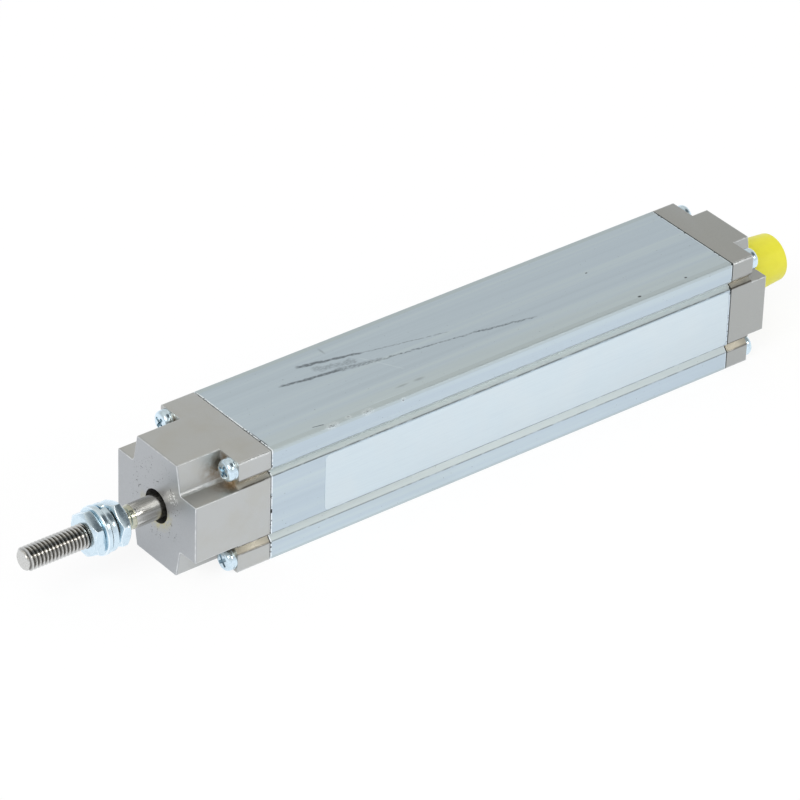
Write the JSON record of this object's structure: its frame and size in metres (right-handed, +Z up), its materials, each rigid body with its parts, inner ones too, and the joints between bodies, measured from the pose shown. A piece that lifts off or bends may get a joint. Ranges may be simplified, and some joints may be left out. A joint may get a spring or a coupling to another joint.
{
  "type": "inductive linear position sensor",
  "caption": "Square grooved aluminium housing with screwed end caps, a sliding threaded measuring rod with nuts, and a round plug connector under a push-on dust cap.",
  "frame": {"origin": "middle of the extruded housing's flat bottom face", "axes": "+Z up, +X along the rod's axis towards the connector, -Y towards the side with the label"},
  "size_m": [0.2219, 0.0301, 0.03],
  "materials": {
    "anodised_aluminium": "anodised, fine lines along the extrusion",
    "cast_metal": "satin, die-cast and plated",
    "zinc_plated_steel": "bright zinc plating",
    "stainless_steel": "polished",
    "spring_steel": "dark oiled",
    "black_rubber": "matte",
    "bronze": "satin",
    "white_plastic": "satin",
    "copper_wire": "enamelled windings",
    "ferrite": "matte sintered",
    "board_laminate": "solder mask",
    "black_plastic": "matte",
    "capacitor_can": "satin",
    "nickel_plated_brass": "nickel plated",
    "gold_plated_pin": "gold plated",
    "yellow_plastic": "soft satin",
    "label_foil": "silvery satin"
  },
  "bodies": {
    "housing": {"housing_profile": "anodised_aluminium", "front_cap": "cast_metal", "rear_cap": "cast_metal", "front_gasket": "black_rubber", "rear_gasket": "black_rubber", "front_cap_screws": "zinc_plated_steel", "front_cap_washers": "zinc_plated_steel", "rear_cap_screws": "zinc_plated_steel", "rear_cap_washers": "zinc_plated_steel", "rod_wiper": "black_rubber", "guide_bush": "bronze", "bush_clip": "spring_steel", "front_buffer": "black_rubber", "coil_former": "white_plastic", "coil_windings": "copper_wire", "front_holder": "white_plastic", "rear_holder": "white_plastic", "rear_buffer": "black_rubber", "circuit_board": "board_laminate", "board_chips": "black_plastic", "board_capacitors": "capacitor_can", "rear_board": "board_laminate", "board_header": "black_plastic", "header_pins": "gold_plated_pin", "connector_shell": "nickel_plated_brass", "connector_insert": "black_plastic", "connector_pins": "gold_plated_pin", "connector_seal": "black_rubber", "connector_clip": "spring_steel", "type_label": "label_foil"},
    "rod": {"measuring_rod": "stainless_steel", "stop_collar": "stainless_steel", "ferrite_core": "ferrite", "core_slider": "white_plastic", "core_nut": "zinc_plated_steel", "front_rod_nut": "zinc_plated_steel", "flat_washer": "zinc_plated_steel", "spring_washer": "zinc_plated_steel", "rear_rod_nut": "zinc_plated_steel"},
    "dust_cap": {"dust_cap": "yellow_plastic"}
  },
  "joints": [
    {"name": "rod_slide", "type": "slide", "parent": "housing", "child": "rod", "axis": [-1, 0, 0], "range_m": [0, 0.075]},
    {"name": "dust_cap_pull", "type": "slide", "parent": "housing", "child": "dust_cap", "axis": [1, 0, 0], "range_m": [0, 0.018]}
  ]
}
